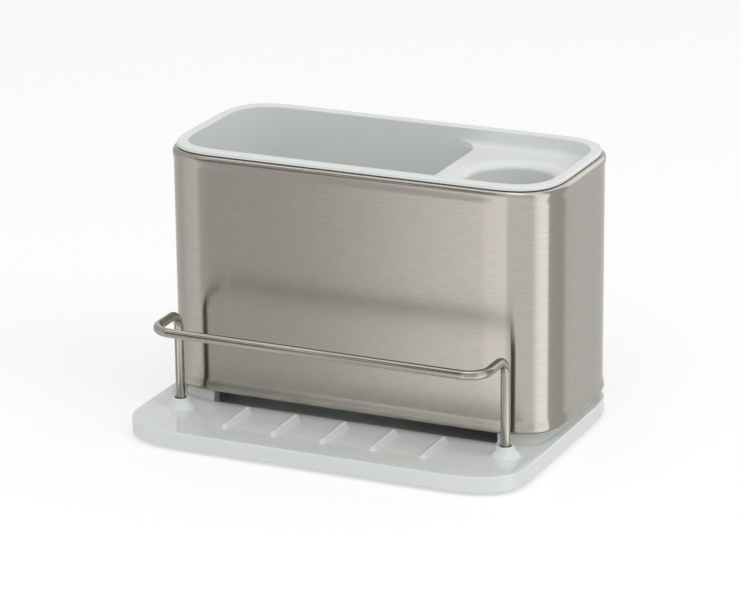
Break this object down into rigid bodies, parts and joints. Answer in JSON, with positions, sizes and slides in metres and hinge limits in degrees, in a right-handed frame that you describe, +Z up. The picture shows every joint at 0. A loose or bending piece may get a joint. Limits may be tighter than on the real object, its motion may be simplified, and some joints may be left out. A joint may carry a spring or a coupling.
{
  "type": "sink caddy",
  "caption": "Free-standing sink caddy: a steel sleeve with a lift-out plastic liner stands on a ribbed drip tray with a wire rail that holds a sponge.",
  "frame": {"origin": "middle of the tray's footprint, on the surface that the feet stand on", "axes": "+Z up, +X to the right along the long side, front with the wire rail at -Y"},
  "size_m": [0.203, 0.143, 0.134],
  "materials": {
    "tray_plastic": "smooth gloss, pale cool grey",
    "liner_plastic": "satin, pale cool grey",
    "sleeve_steel": "stainless, brushed along the horizontal",
    "wire_steel": "stainless wire, satin with fine lines along its length",
    "foot_rubber": "matte soft grey"
  },
  "bodies": {
    "tray": {"drip_tray": "tray_plastic", "foot_front_left": "foot_rubber", "foot_front_right": "foot_rubber", "foot_back_left": "foot_rubber", "foot_back_right": "foot_rubber"},
    "sleeve": {"steel_sleeve": "sleeve_steel"},
    "liner": {"inner_liner": "liner_plastic"},
    "rail": {"wire_rail": "wire_steel"}
  },
  "joints": [
    {"name": "sleeve_lift", "type": "slide", "parent": "tray", "child": "sleeve", "axis": [0, 0, 1], "range_m": [0, 0.03]},
    {"name": "liner_lift", "type": "slide", "parent": "sleeve", "child": "liner", "axis": [0, 0, 1], "range_m": [0, 0.125]},
    {"name": "rail_lift", "type": "slide", "parent": "tray", "child": "rail", "axis": [0, 0, 1], "range_m": [0, 0.04]}
  ]
}
